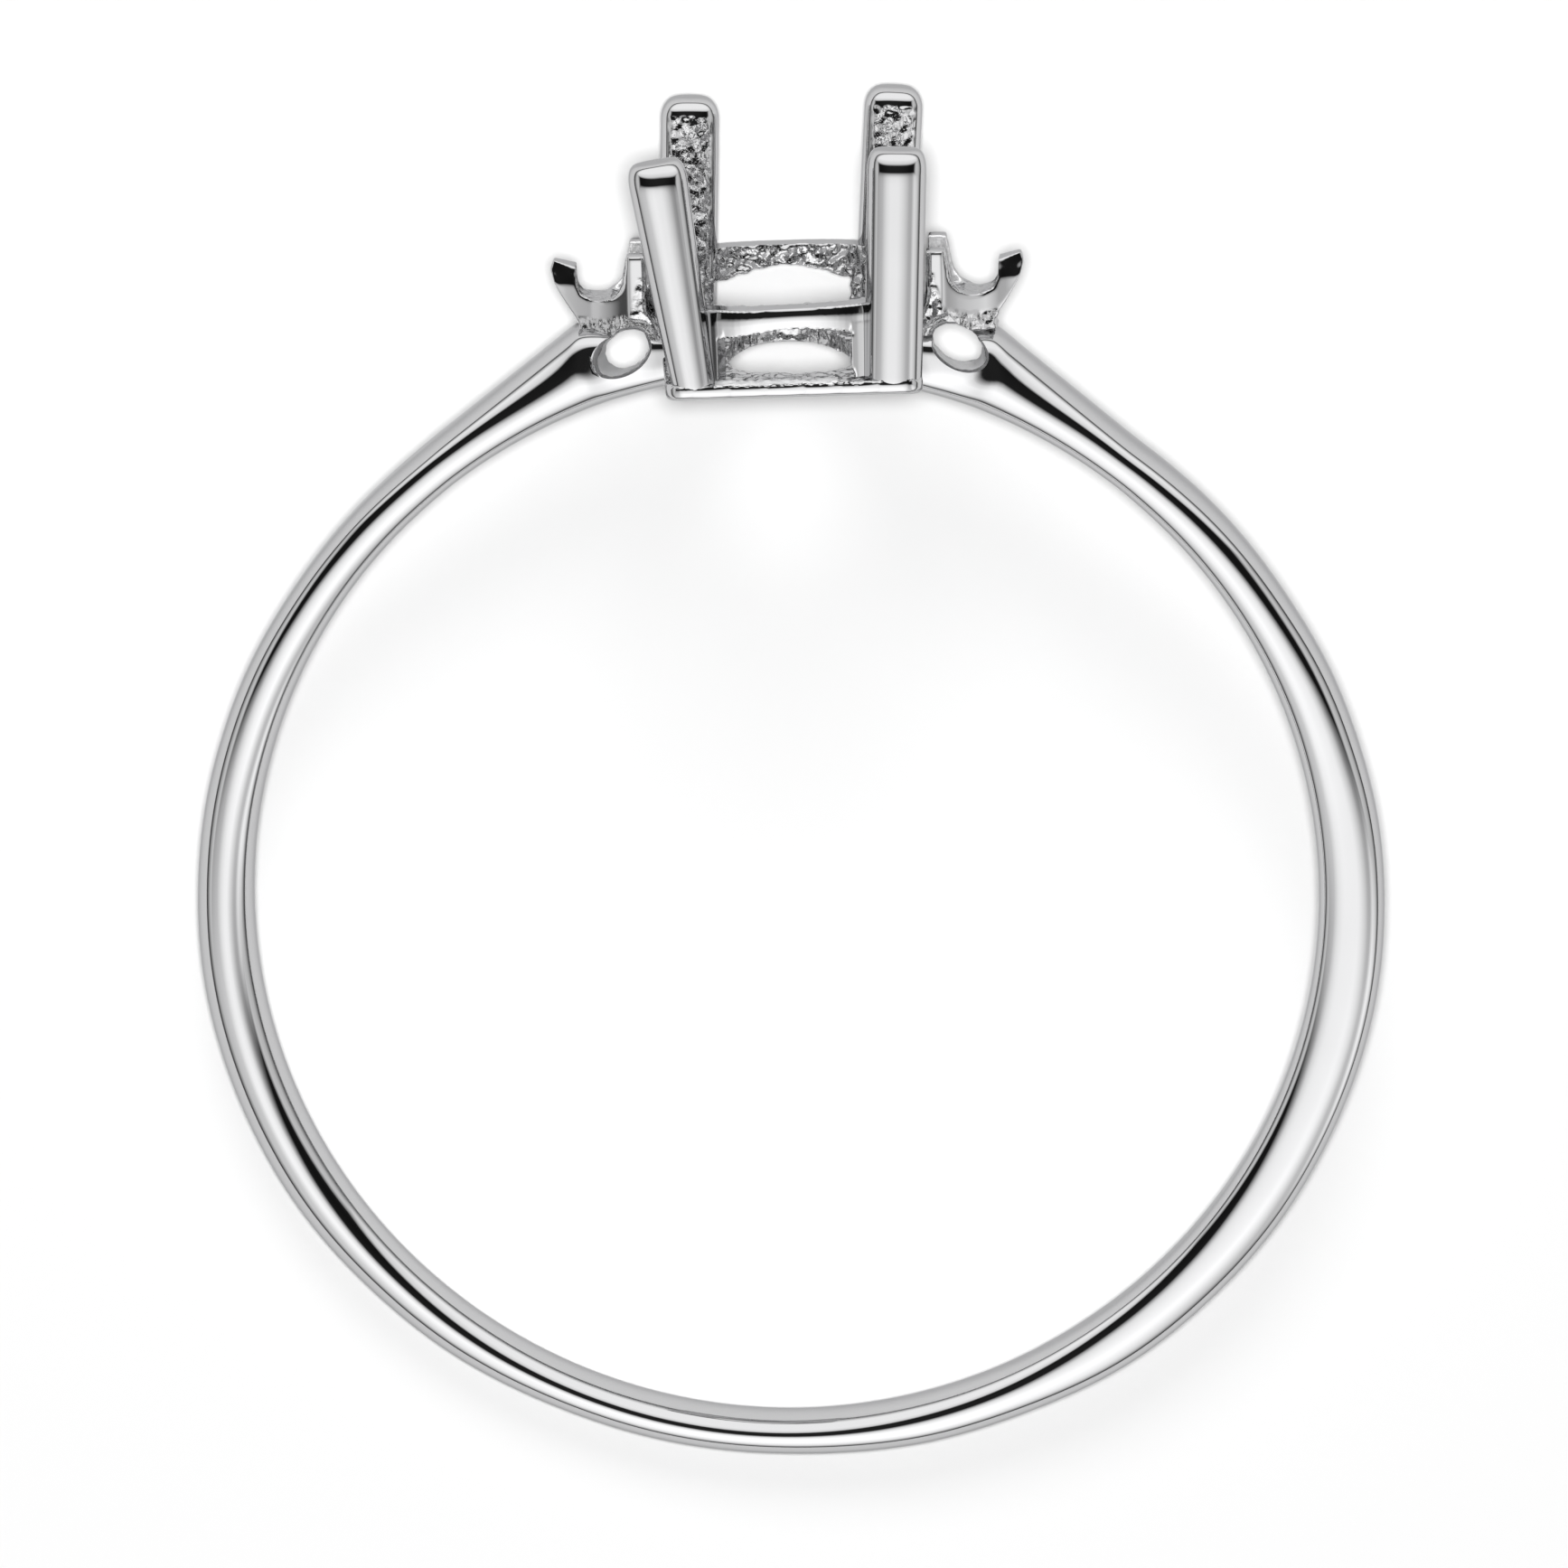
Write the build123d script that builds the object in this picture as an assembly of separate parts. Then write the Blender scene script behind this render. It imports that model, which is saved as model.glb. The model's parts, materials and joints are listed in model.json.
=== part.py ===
from build123d import *
import math
import os

# Semi mount ring setting, in millimetres: one white metal casting of a tapered band,
# a four prong basket for an oval centre stone and two small side settings, all without stones.
# It is modelled upright in the ring's own frame (X across, Y along the finger, Z up to the head),
# and laid on its side at the end, as it rests by itself.

# Finger hole and band
finger_radius = 8.65
band_thickness = 1.0
band_width = 1.1
shoulder_width = 1.7
outer_round = 0.35
inner_round = 0.35
least_flat = 0.04
bore_stock = 0.02

# Shoulders, which rise straight from the band to a flat end beside the head
shoulder_half_span = 3.4
shoulder_rise = 0.73
shoulder_thickness = 0.76

# Centre basket, heights above the finger circle
head_length = 6.4
head_width = 4.12
head_underside_rise = 0.12
base_top_rise = 0.42
rail_bottom_rise = 1.22
rail_top_rise = 1.55
rail_arch = 0.2
plan_round = 0.3
base_edge_round = 0.12
base_hole_length = 4.2
base_hole_width = 2.06
rail_corner = 1.6
seat_length = 5.4
seat_width = 3.6
seat_corner = 1.4
widest_corner = 0.48
window_width = 2.2
side_window_width = 3.3

# Centre prongs
prong_top_rise = 4.1
prong_width = 0.95
prong_depth = 0.85
prong_proud = 0.06
prong_lift = 0.16
prong_outer_round = 0.15
prong_inner_round = 0.08
prong_top_round = 0.25

# How the soldered head sits on the band
head_lean = 1.5
head_twist = 3.4
head_shift = 0.05

# Side settings, heights above the finger circle
side_inner_x = 2.24
side_outer_x = 3.89
side_tip_width = 0.4
side_inner_width = 1.9
side_foot_inner_x = 1.9
side_foot_tip_width = 0.7
side_foot_inner_width = 1.6
side_tip_rise = 1.82
side_prong_rise = 2.1
side_prong_gap = 1.1
side_floor_rise = 1.25
side_sink = 0.05
scoop_radius = 0.42
scoop_x = 3.05
scoop_rise = 1.7
pocket_radius = 0.32
pocket_foot_radius = 0.22
notch_x = 2.42
notch_rise = 1.12
notch_width = 0.2
notch_height = 0.5
notch_depth = 0.15

# Oval opening through each shoulder end
opening_length = 1.16
opening_width = 0.8
opening_x = 2.72
opening_rise = 0.45
opening_slant = 35.0

# Thickness of the band around the ring, as shares of band_thickness:
# angle up from the bottom in degrees, left side, right side
BAND = [
    (20, 0.75, 0.83),
    (40, 0.86, 0.99),
    (60, 0.95, 1.06),
    (80, 0.97, 1.10),
    (95, 0.92, 1.07),
    (110, 0.86, 0.97),
    (124, 0.78, 0.86),
]
bottom_share = 0.73

# Where the straight shoulders are cut into sections, as shares of the way
# from the round band to the middle of the head
SHOULDER_STEPS = [0.0, 0.28, 0.56, 0.84]

# Centre prongs: side across, end along the finger, outward lean in degrees, height as a share
PRONGS = [
    (-1, -1, 8.2, 0.985),
    (1, -1, 2.3, 1.0),
    (1, 1, 4.2, 1.005),
    (-1, 1, -2.0, 0.985),
]

# Values that follow from the sizes above
shoulder_top = finger_radius + shoulder_rise
head_underside = finger_radius + head_underside_rise
base_top = finger_radius + base_top_rise
rail_bottom = finger_radius + rail_bottom_rise
rail_top = finger_radius + rail_top_rise
clear_reach = 4 * finger_radius


def shoulder_slope():
    """Angle from the top of the ring at which the straight shoulder leaves the round band."""
    radius = finger_radius + shoulder_thickness
    corner_angle = math.degrees(math.atan2(shoulder_half_span, shoulder_top))
    swing = math.degrees(math.acos(radius / math.hypot(shoulder_half_span, shoulder_top)))
    return corner_angle + swing


def half_width(height):
    """Half the band's width: even below the middle, then growing up to the shoulder's end."""
    grown = max(height, 0) / shoulder_top
    return band_width / 2 + (shoulder_width - band_width) / 2 * grown * grown


def rounding(size, thickness):
    """One of the band's roundings, made smaller where the band is too thin for both."""
    room = (1 - least_flat) * thickness
    return size * min(1, room / (outer_round + inner_round))


def band_section(angle, side, thickness):
    """Cross section of the band at an angle up from the bottom, with a little stock left in the hole."""
    turn = math.radians(angle)
    outward = Vector(side * math.sin(turn), 0, -math.cos(turn))
    middle = finger_radius + (thickness - bore_stock) / 2
    outline = Rectangle(2 * half_width(-middle * math.cos(turn)), thickness + bore_stock)
    outline = fillet(outline.vertices().group_by(Axis.Y)[-1], rounding(outer_round, thickness))
    outline = fillet(outline.vertices().group_by(Axis.Y)[0], rounding(inner_round, thickness))
    travel = Vector(side * math.cos(turn), 0, math.sin(turn)) * side
    return Plane(origin=outward * middle, x_dir=(0, 1, 0), z_dir=travel) * outline


def band_sections():
    """Sections from the left shoulder's end, down around the bottom, to the right one."""
    slope = shoulder_slope()
    radius = finger_radius + shoulder_thickness
    rows = []
    for step in reversed(SHOULDER_STEPS):
        from_top = slope * (1 - step)
        thickness = radius / math.cos(math.radians(slope - from_top)) - finger_radius
        rows.append((180 - from_top, thickness, thickness))
    for angle, left, right in reversed(BAND):
        rows.append((angle, left * band_thickness, right * band_thickness))
    sections = [band_section(angle, -1, left) for angle, left, _ in rows]
    sections.append(band_section(0, 1, bottom_share * band_thickness))
    sections += [band_section(angle, 1, right) for angle, _, right in reversed(rows)]
    return sections


def shank():
    """Band and both shoulders, bored to finger size and cut flat at their ends."""
    body = loft(band_sections())
    body -= Plane.XZ * Cylinder(finger_radius, clear_reach)
    body -= Pos(0, 0, shoulder_top + clear_reach / 2) * Box(clear_reach, clear_reach, clear_reach)
    return body


def oval(length, width, bottom, top):
    """Upright prism with an elliptical plan."""
    return Pos(0, 0, bottom) * extrude(Ellipse(width / 2, length / 2), top - bottom)


def rounded(length, width, corner, bottom, top):
    """Upright prism whose plan is a rectangle with wide corners."""
    plan = RectangleRounded(width, length, min(corner, widest_corner * width))
    return Pos(0, 0, bottom) * extrude(plan, top - bottom)


def window(arch):
    """Space between two prongs, seen along the finger, under a rail that may be arched."""
    half = window_width / 2
    side_top = rail_bottom - arch
    with BuildSketch(Plane.XZ) as sketch:
        with BuildLine():
            Polyline((-half, side_top), (-half, base_top), (half, base_top), (half, side_top))
            ThreePointArc((half, side_top), (0, rail_bottom), (-half, side_top))
        make_face()
    return sketch.sketch


def basket():
    """Upper rail and the four corner posts between it and the base."""
    ring = rounded(head_length - 2 * prong_proud, head_width, rail_corner, base_top, rail_top)
    ring -= rounded(seat_length, seat_width, seat_corner, base_top, rail_top)
    near = extrude(window(base_edge_round), head_length)
    far = extrude(window(rail_arch), -head_length)
    gap = rail_bottom - base_top
    sides = Pos(0, 0, base_top + gap / 2) * Box(clear_reach, side_window_width, gap)
    return ring - near - far - sides


def base():
    """Foot of the head, with its oval hole down to the finger."""
    height = base_top - head_underside
    plate = extrude(RectangleRounded(head_width, head_length, plan_round), height)
    plate = fillet(plate.edges().group_by(Axis.Z)[0], base_edge_round)
    return Pos(0, 0, head_underside) * plate


def prong(side, end, lean, share):
    """One square prong with a softly domed top, standing on a corner of the base."""
    height = prong_top_rise * share - head_underside_rise - prong_lift
    bar = extrude(Rectangle(prong_width, prong_depth), height)
    upright = bar.edges().filter_by(Axis.Z)
    bar = fillet(upright.group_by(Axis.Y)[0], prong_outer_round)
    upright = bar.edges().filter_by(Axis.Z)
    bar = fillet(upright.group_by(Axis.Y)[-1], prong_inner_round)
    bar = fillet(bar.edges().group_by(Axis.Z)[-1], prong_top_round)
    facing = 0 if end < 0 else 180
    foot_x = side * (head_width - prong_width) / 2
    foot_y = end * (head_length - prong_depth) / 2
    return Pos(foot_x, foot_y, head_underside + prong_lift) * Rot(0, side * lean, 0) * Rot(0, 0, facing) * bar


def head():
    """Centre basket with its four prongs, square to itself."""
    body = base() + basket()
    for side, end, lean, share in PRONGS:
        body += prong(side, end, lean, share)
    return body


def trapezoid(inner_x, outer_x, inner_width, outer_width, height):
    """Plan of a side setting at one height, wide beside the head and narrow at its tip."""
    corners = [
        (inner_x, -inner_width / 2),
        (outer_x, -outer_width / 2),
        (outer_x, outer_width / 2),
        (inner_x, inner_width / 2),
    ]
    return Pos(0, 0, height) * make_face(Polyline(*corners, close=True))


def side_setting():
    """Small open setting on the right shoulder: an outer tip, two inner prongs and a scoop between."""
    foot = shoulder_top - side_sink
    top = finger_radius + side_prong_rise
    tip = finger_radius + side_tip_rise
    plans = [
        trapezoid(side_foot_inner_x, shoulder_half_span, side_foot_inner_width, side_foot_tip_width, foot),
        trapezoid(side_inner_x, side_outer_x, side_inner_width, side_tip_width, top),
    ]
    body = loft(plans)
    reach = shoulder_width
    scoop_z = finger_radius + scoop_rise
    body -= Pos(scoop_x, 0, scoop_z) * Rot(90, 0, 0) * Cylinder(scoop_radius, 2 * reach)
    body -= Pos(scoop_x, 0, scoop_z + reach / 2) * Box(2 * scoop_radius, 2 * reach, reach)
    body -= Pos(scoop_x + reach / 2, 0, tip + reach / 2) * Box(reach, 2 * reach, reach)
    floor = finger_radius + side_floor_rise
    body -= Pos(scoop_x - reach / 2, 0, floor + reach / 2) * Box(reach, side_prong_gap, reach)
    body -= Pos(scoop_x, 0, floor + reach / 2) * Cylinder(pocket_radius, reach)
    body -= Pos(scoop_x, 0, floor) * Cylinder(pocket_foot_radius, 2 * (floor - shoulder_top) + reach)
    return body - notches()


def notches():
    """Small V cut at the foot of the inner prongs, on the near and the far face."""
    bottom = finger_radius + notch_rise
    with BuildSketch(Plane.XZ) as sketch:
        with BuildLine():
            Polyline(
                (notch_x - notch_width / 2, bottom),
                (notch_x + notch_width / 2, bottom),
                (notch_x, bottom + notch_height),
                close=True,
            )
        make_face()
    wide = extrude(sketch.sketch, side_inner_width, both=True)
    core = side_inner_width - 2 * notch_depth
    return wide - Pos(notch_x, 0, bottom) * Box(side_inner_width, core, side_inner_width)


def side_opening():
    """Oval hole through the right shoulder end, along the finger."""
    tool = extrude(Plane.XZ * Ellipse(opening_length / 2, opening_width / 2), shoulder_width, both=True)
    return Pos(opening_x, 0, finger_radius + opening_rise) * Rot(0, opening_slant, 0) * tool


def seated(shape, twist=0):
    """A shape with the lean and shift that the top of the ring has on the band."""
    leaned = Pos(0, 0, finger_radius) * Rot(0, -head_lean, 0) * Pos(0, 0, -finger_radius) * shape
    return Pos(head_shift, 0, 0) * Rot(0, 0, twist) * leaned


def ring():
    """The whole casting, upright."""
    body = shank()
    space = Box(head_width - 2 * plan_round, clear_reach, clear_reach)
    body -= seated(Pos(0, 0, base_top + clear_reach / 2) * space, head_twist)
    setting = side_setting()
    hole = side_opening()
    body += seated(setting) + seated(mirror(setting, about=Plane.YZ))
    body -= seated(hole) + seated(mirror(hole, about=Plane.YZ))
    body += seated(head(), head_twist)
    well = oval(base_hole_length, base_hole_width, 0, base_top)
    return body - seated(well, head_twist)


def rest_tilt():
    """Slope of the ring on a table, where it lies on the head's base and the band's bottom edge."""
    thickness = bottom_share * band_thickness
    bottom_round = rounding(outer_round, thickness)
    ahead = (head_length / 2 - base_edge_round) - (band_width / 2 - bottom_round)
    above = (head_underside + base_edge_round) + (finger_radius + thickness - bottom_round)
    bulge = math.asin((bottom_round - base_edge_round) / math.hypot(ahead, above))
    return math.degrees(math.atan2(ahead, above) - bulge)


def lying(shape):
    """The ring on its side, with the head towards +Y and the table at height zero."""
    laid = Rot(rest_tilt() - 90, 0, 0) * Rot(0, 0, -head_twist) * shape
    box = laid.bounding_box()
    return Pos(-box.center().X, -box.center().Y, -box.min.Z) * laid


os.makedirs("parts", exist_ok=True)
export_step(lying(ring()), "parts/ring_setting.step")
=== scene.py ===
import json
import math

import bmesh
import bpy
from mathutils import Matrix, Vector, noise


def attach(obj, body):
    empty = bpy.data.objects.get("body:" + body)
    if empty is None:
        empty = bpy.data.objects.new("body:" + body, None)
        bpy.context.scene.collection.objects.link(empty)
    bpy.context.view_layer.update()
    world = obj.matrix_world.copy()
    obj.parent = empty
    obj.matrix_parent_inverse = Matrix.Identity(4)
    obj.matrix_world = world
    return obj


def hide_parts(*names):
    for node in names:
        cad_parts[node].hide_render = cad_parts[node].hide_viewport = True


# Semi mount ring setting in polished white metal, without its stones.
# Every piece is modelled upright in millimetres, in the frame of the finger hole: x across, y along
# the finger away from the viewer, z up to the head. One matrix then lays it down as it was packed.
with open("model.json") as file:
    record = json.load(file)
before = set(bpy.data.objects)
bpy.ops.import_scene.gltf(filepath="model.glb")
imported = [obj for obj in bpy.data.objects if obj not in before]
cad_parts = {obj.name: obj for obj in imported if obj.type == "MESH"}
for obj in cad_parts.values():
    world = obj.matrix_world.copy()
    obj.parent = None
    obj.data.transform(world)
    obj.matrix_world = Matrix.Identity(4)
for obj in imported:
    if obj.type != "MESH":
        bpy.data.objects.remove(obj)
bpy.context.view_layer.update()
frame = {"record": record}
MM = 0.001
finger = frame["record"]["mounts"][0]
FINGER = finger["dims"]["r_mm"]
MERGE_DISTANCE = 0.0005

# Band
BAND_THICKNESS = 1.0
BAND_WIDTH = 1.1
BAND_POINTS = 24
BAND_STEP = 5
# angle up from the bottom, thickness share, then how square the outer and the inner half are
BAND_ROWS = [
    (-180, 0.70, 7, 3.2), (-165, 0.70, 7, 3.2), (-157, 0.71, 3.2, 3.2), (-145, 0.74, 3.2, 3.2),
    (-124, 0.78, 3.1, 3.0), (-110, 0.86, 2.7, 2.6), (-95, 0.92, 2.3, 2.3), (-80, 0.97, 2.1, 2.1),
    (-60, 0.95, 2.1, 2.1), (-40, 0.86, 2.1, 2.1), (-20, 0.75, 2.1, 2.1), (0, 0.73, 2.1, 2.1),
    (20, 0.83, 2.3, 2.6), (40, 0.99, 2.8, 4.0), (60, 1.06, 3.2, 4.4), (80, 1.10, 3.4, 4.2),
    (95, 1.07, 3.2, 3.6), (110, 0.97, 2.8, 3.2), (124, 0.86, 2.6, 3.2), (157, 0.71, 2.9, 3.2),
    (165, 0.70, 7, 3.2), (180, 0.70, 7, 3.2),
]
# The band's two ends lie under the head's base, this far in from its sides and below its top
BAND_END_INSET = 0.32
BAND_END_SUNK = 0.08

# Shoulders
SHOULDER_WIDTH = 1.7
SHOULDER_HALF_SPAN = 3.4
SHOULDER_TOP = FINGER + 0.73
SHOULDER_THICKNESS = 0.76
# Angles from the top at which the shoulders have their sections
SHOULDER_SECTIONS = [6.5, 10.3, 10.9, 12, 15, 18, 19.5, 20.4, 22, 25, 28, 31, 34, 37]
# The shoulders' faces lean in towards their outside: by how much, at which angles up from the bottom
# the lean begins, is full and has ended, and from where to where through the thickness, from -1 to 1
SHOULDER_LEAN = 0.08
SHOULDER_LEAN_ANGLES = (144, 158, 163)
SHOULDER_LEAN_DEPTHS = (-0.2, 1)

# Oval holes through the shoulders: half width and half height, then their places and turns
OPENING = (0.46, 0.31)
OPENING_ACROSS = {-1: 2.62, 1: 2.72}
OPENING_HEIGHT = FINGER + 0.4
OPENING_DIP = 6
OPENING_SLANT = 35
OPENING_POINTS = 48
# How far each hole flares out, at distances from its middle towards either end
OPENING_FLARE = [
    (1.2, 0.26), (0.88, 0.22), (0.83, 0.18), (0.79, 0.12), (0.75, 0.065), (0.7, 0.03), (0.6, 0.01),
    (0.45, 0), (0.2, 0),
]
# The shoulders' faces, which start this far from the middle plane, dip round the holes: by how much,
# and between which distances from a hole's middle
SHOULDER_FACE = 0.4
OPENING_SINK = 0.05
OPENING_SINK_SPAN = (0.4, 0.85)
# A hole's wall lies within this distance from its middle, and this far from the middle plane
OPENING_WALL_REACH = 1.3 * OPENING[0]
OPENING_WALL_END = 0.8

# Base of the head
HEAD_LENGTH = 6.4
HEAD_WIDTH = 4.12
BASE_BOTTOM = FINGER + 0.12
BASE_TOP = FINGER + 0.42
BASE_ROUND = 0.3
BASE_ROUND_STEPS = 8
BASE_EDGE = 0.12
BASE_EDGE_STEPS = 5
BASE_ARCH = 0.14
# Its top edge is filed off, inwards and down, and its near and far rims are satin for this far in
BASE_TOP_EDGE = (0.03, 0.04)
BASE_RIM = (0.15, 0.3)
# Hole in the base: width, centre along the finger, then reach and squareness at either end
BASE_HOLE_WIDTH = 2.06
BASE_HOLE_CENTRE = -0.85
BASE_HOLE_NEAR = (1.5, 3)
BASE_HOLE_FAR = (2.45, 2)
BASE_HOLE_POINTS = 64
BASE_HOLE_TOOL = (FINGER - 1, FINGER + 1)
# The hole's wall lies within these distances from the middle, across and along the finger
BASE_HOLE_WALL = (0.55 * BASE_HOLE_WIDTH, 0.4 * HEAD_LENGTH)

# Rail and its posts
RAIL_BOTTOM = FINGER + 1.24
RAIL_TOP = FINGER + 1.58
RAIL_OUTSIDE = (4.12, 6.28)
RAIL_INSIDE = (3.6, 5.4)
RAIL_POWER = 3.2
RAIL_POINTS = 144
# Shares of the rail's height at which it has a section, and how far its outer face is crowned
RAIL_ROWS = (0, 0.1, 0.25, 0.4, 0.6, 0.75, 0.9, 1)
RAIL_CROWN = 0.03
# How it is bent: its near side slants, that end is lifted between these distances and the far one
# drops as much, and its lower edge arches over the near and the far window
RAIL_SLANT = 0.025
RAIL_LIFT = 0.03
RAIL_LIFT_SPAN = (1, 2)
RAIL_ARCH = (0.1, 0.2)
# The windows between the prongs, and how far the posts reach into the base and the rail
NEAR_WINDOW = (-1.06, 0.92)
FAR_WINDOW = (-1.12, 1.07)
SIDE_WINDOW_HALF = 1.65
POST_IN_BASE = 0.05
POST_IN_RAIL = 0.1

# Prongs
PRONG_LIFT = 0.07
PRONG_WIDTH = 0.95
PRONG_DEPTH = 0.85
PRONG_TOP = 4.1
PRONG_POINTS = 32
PRONG_SECTIONS = 16
PRONG_FOOT_EDGE = 0.05
PRONG_FRONT_POWER = 2.7
PRONG_BACK_POWER = 3.2
# How far each prong's top is drawn in, at heights below the top: across, then along the finger
NEAR_DOME = [
    (0.36, 0, 0), (0.29, 0.003, 0.008), (0.22, 0.01, 0.024), (0.155, 0.024, 0.046), (0.1, 0.044, 0.072),
    (0.055, 0.072, 0.102), (0.022, 0.11, 0.14), (0.005, 0.16, 0.19), (0, 0.25, 0.27),
]
FAR_DOME = [
    (0.32, 0, 0), (0.25, 0.012, 0.004), (0.17, 0.04, 0.02), (0.1, 0.085, 0.055), (0.05, 0.14, 0.1),
    (0.018, 0.21, 0.17), (0, 0.31, 0.28),
]
# The rough back of a prong ends this far below its dome, and at this share of its half width
PRONG_ROUGH_END = 0.08
PRONG_ROUGH_SHARE = 0.8
# side across, end along the finger, outward lean in degrees, height share, width share at the foot
PRONGS = [
    (-1, -1, 8.2, 0.985, 0.74),
    (1, -1, 2.3, 1.0, 0.97),
    (1, 1, 4.2, 1.005, 0.97),
    (-1, 1, -2.0, 0.985, 0.97),
]

# How the whole head was soldered on a little off true
LEAN = 1.5
TWIST = 3.4
SHIFT = 0.05

# Side settings, as the right one stands: across, then up from the finger hole's middle
SEAT_FOOT = SHOULDER_TOP - 0.06
SEAT_POST = (2.26, 2.6)
SEAT_POST_TOP = FINGER + 2.08
SEAT_POST_LEAN = 0.04
# The inner side of the posts: how far it stands in at its foot, then at its knee and how high that is
SEAT_FOOT_INWARD = 0.28
SEAT_KNEE = (0.02, FINGER + 1.2)
SEAT_CENTRE = (3.05, FINGER + 1.7)
SEAT_RADIUS = 0.42
SEAT_SCOOP_TURNS = range(180, 300, 15)
SEAT_TIP = 3.82
# The tip from the scoop up over its top, then the arm's outer side down to the shoulder
SEAT_TIP_OUTLINE = [
    (3.33, FINGER + 1.36), (3.4, FINGER + 1.5), (3.41, FINGER + 1.8), (3.77, FINGER + 1.9),
    (SEAT_TIP, FINGER + 1.76), (3.76, FINGER + 1.54), (3.65, FINGER + 1.33), (3.52, FINGER + 1.12),
    (3.42, FINGER + 0.97), (3.36, FINGER + 0.82), (3.38, SEAT_FOOT),
]
# The tip's faces lean in by this much between these places, and they are crowned about its middle
SEAT_TIP_LEAN = 0.07
SEAT_TIP_CROWN = 0.05
SEAT_TIP_MIDDLE = 3.6
SEAT_TIP_ACROSS = (3.2, 3.5)
SEAT_TIP_HEIGHTS = (1.48, 1.88)
# Half width at the posts and at the tip, how fast it narrows, and how far before the scoop it starts,
# all given to a flat body of one unit's depth
UNIT_DEPTH = 1
SEAT_WIDE = 0.86
SEAT_NARROW = 0.23
SEAT_TAPER = 1.65
SEAT_TAPER_START = 0.08
# Slot between the two inner posts: its width, and the lowest and highest corner of its tool
SEAT_GAP = 0.58
SEAT_SLOT_LOW = (1.6, FINGER + 1.3)
SEAT_SLOT_HIGH = (2.85, FINGER + 3)
# Where the casting shows at a side setting's foot: its upper edge at the holes, which rises inwards
SEAT_ROUGH_TOP = FINGER + 0.98
SEAT_ROUGH_RISE = 0.4
SEAT_ROUGH_FROM = 2.9
SEAT_ROUGH_BLUR = 0.05
SEAT_HOLE_TOP = FINGER + 1
# And beside the posts: its edge at a height, how fast that edge spreads downwards, and its top
SEAT_NOTCH = (2.34, FINGER + 1.72)
SEAT_NOTCH_SPREAD = 0.25
SEAT_NOTCH_BLUR = 0.06
SEAT_NOTCH_TOP = (FINGER + 1.74, FINGER + 1.68)
# How rough the places beside the posts, in the scoop and on the setting's back are
NOTCH_ROUGH = 0.6
SCOOP_ROUGH = 0.7
BACK_ROUGH = 1.6

# Grain of each casting's fine mesh, and how many times it is smoothed
BASE_MELT = (0.035, 3)
RAIL_MELT = (0.0235, 2)
SEAT_MELT = (0.022, 14)

# Mark left on the metal: 0 is polished, 1 is the casting's own skin, 2 is an even satin
SATIN = 2
LUMP_SIZE = 0.12
LUMPS = 0.04
SEAT_LUMPS = 0.02
# Ranges of a face's own direction over which that mark fades
FADE_FLAT = (0.5, 0.8)
FADE_UPRIGHT = (0.2, 0.5)
FADE_SCOOP = (0.2, 0.35)
SCOOP_SIDEWAYS = 0.5
FADE_OPENING = (0.1, 0.3)
FADE_PRONG = (0.8, 0.95)
FADE_SEAT_BACK = (0.3, 0.6)
SMOOTH_ANGLE = 32

# White metal: colours, roughness, and the sizes and heights of its grain and its long waves
POLISHED_TONE = (0.56, 0.56, 0.565, 1)
GLANCING_TONE = (0.55, 0.55, 0.555, 1)
SATIN_TONE = (0.9, 0.9, 0.905, 1)
POLISHED_ROUGHNESS = 0.05
CAST_ROUGHNESS = 0.07
SATIN_ROUGHNESS = 0.42
SATIN_METALLIC = 0.5
GRAIN_SIZE = 0.09
GRAIN_HEIGHT = 0.012
WAVE_SIZE = 1.4
WAVE_HEIGHT = 0.004

# Brightness of the studio as the metal mirrors it, and as it falls on the table
MIRRORED_LIGHT = 1.8
SPREAD_LIGHT = 0.1
# What the metal mirrors, as places from -1 to 1 along a direction and the brightness there: table and
# roof along the upright ring's height, sides and walls across it, horizon along the lying ring's height
TABLE_TONES = [(-1, 0.6), (-0.7, 1), (-0.32, 1), (-0.14, 0.72), (-0.04, 0.3), (0.02, 0.012), (1, 0.015)]
SIDE_TONES = [
    (-1, 0.4), (-0.85, 0.45), (-0.5, 0.58), (-0.25, 0.88), (-0.08, 1), (0.1, 1), (0.3, 0.75), (0.5, 0.5),
    (0.62, 0.48), (0.78, 0.85), (0.9, 0.7), (1, 0.45),
]
ROOF_TONES = [(-1, 0), (0.37, 0), (0.46, 0.6), (0.65, 0.8), (1, 0.8)]
WALL_TONES = [(-1, 0.42), (-0.84, 0.5), (-0.73, 0), (0.73, 0), (0.84, 0.5), (1, 0.42)]
HORIZON_TONES = [(-1, 0.5), (0, 0.35), (0.02, 0.12), (0.1, 0.14), (0.2, 0.6), (0.35, 1)]

# Lamps and table, in metres and watts
VIEWER_LAMP_SIZE = 0.03
VIEWER_LAMP = 0.95
FAR_LAMP_AT = (0, 0.35, 0.4)
FAR_LAMP_SIZE = 0.25
FAR_LAMP = 0.7
FLOOR_SIZE = 3
FLOOR_TONE = (0.8, 0.8, 0.8, 1)
FLOOR_ROUGHNESS = 0.9
FLOOR_GLOSS = 0.1

# The photograph's camera, in the upright frame
CAMERA_AT = (9.975, -300.0, 67.597)
CAMERA_YAW = 1.912
CAMERA_PITCH = 12.362
CAMERA_ROLL = 0.056
IMAGE_SIDE = 1735
FOCAL_PIXELS = 20968.3
CAMERA_NEAR = 0.01
CAMERA_FAR = 20


def lying_frame(mount):
    """From the upright frame in millimetres to the resting place, read from the finger mount."""
    far = -Vector(mount["axis"])
    up = Vector((1, 0, 0)).cross(far).normalized()
    across = far.cross(up)
    turn = Matrix((across, far, up)).transposed()
    return Matrix.Translation(mount["pos_m"]) @ turn.to_4x4()


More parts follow.
